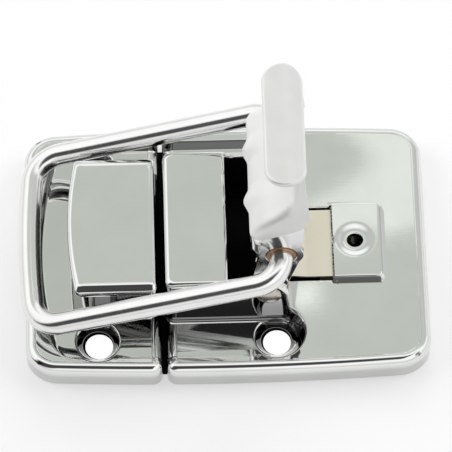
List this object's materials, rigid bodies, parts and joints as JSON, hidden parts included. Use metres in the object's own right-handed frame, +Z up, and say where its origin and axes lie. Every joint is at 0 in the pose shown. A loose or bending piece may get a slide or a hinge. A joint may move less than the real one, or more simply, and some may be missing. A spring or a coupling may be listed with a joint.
{
  "type": "draw latch",
  "caption": "Chrome-plated draw latch for a case: a lever on the latch plate pulls a round wire bail behind the hook of a separate keeper plate.",
  "frame": {"origin": "midway between the two main screw holes of the latch plate, on the mounting surface", "axes": "+X along the pull, from the keeper towards the free end of the closed lever; +Y across the latch; +Z up from the mounting surface"},
  "size_m": [0.0663, 0.046, 0.0424],
  "materials": {
    "plate_chrome": "bright plated pressed steel",
    "lever_chrome": "bright plated pressed steel, slightly soft",
    "wire_chrome": "bright plated round wire",
    "pin_steel": "riveted over, dull",
    "spring_bronze": "pale rolled strip",
    "bush_bronze": "dull brown bronze"
  },
  "bodies": {
    "base": {"keeper_plate": "plate_chrome", "latch_plate": "plate_chrome", "pivot_pin": "pin_steel", "leaf_spring": "spring_bronze"},
    "lever": {"lever": "lever_chrome"},
    "bail_bushes": {"bail_bush_front": "bush_bronze", "bail_bush_rear": "bush_bronze"},
    "bail": {"bail": "wire_chrome"}
  },
  "joints": [
    {"name": "lever_swing", "type": "hinge", "parent": "base", "child": "lever", "pos_m": [-0.0011, 0, 0.0102], "axis": [0, 1, 0], "range_deg": [0, 87]},
    {"name": "bush_turn", "type": "hinge", "parent": "lever", "child": "bail_bushes", "pos_m": [0.0008, 0, 0.0206], "axis": [0, 1, 0], "range_deg": [-71.5, 0]},
    {"name": "bail_lift", "type": "hinge", "parent": "bail_bushes", "child": "bail", "pos_m": [0.0008, 0, 0.0206], "axis": [0, 1, 0], "range_deg": [0, 180]}
  ],
  "couplings": [
    {"joint": "bush_turn", "follows": "lever_swing", "ratio": -0.81938}
  ]
}
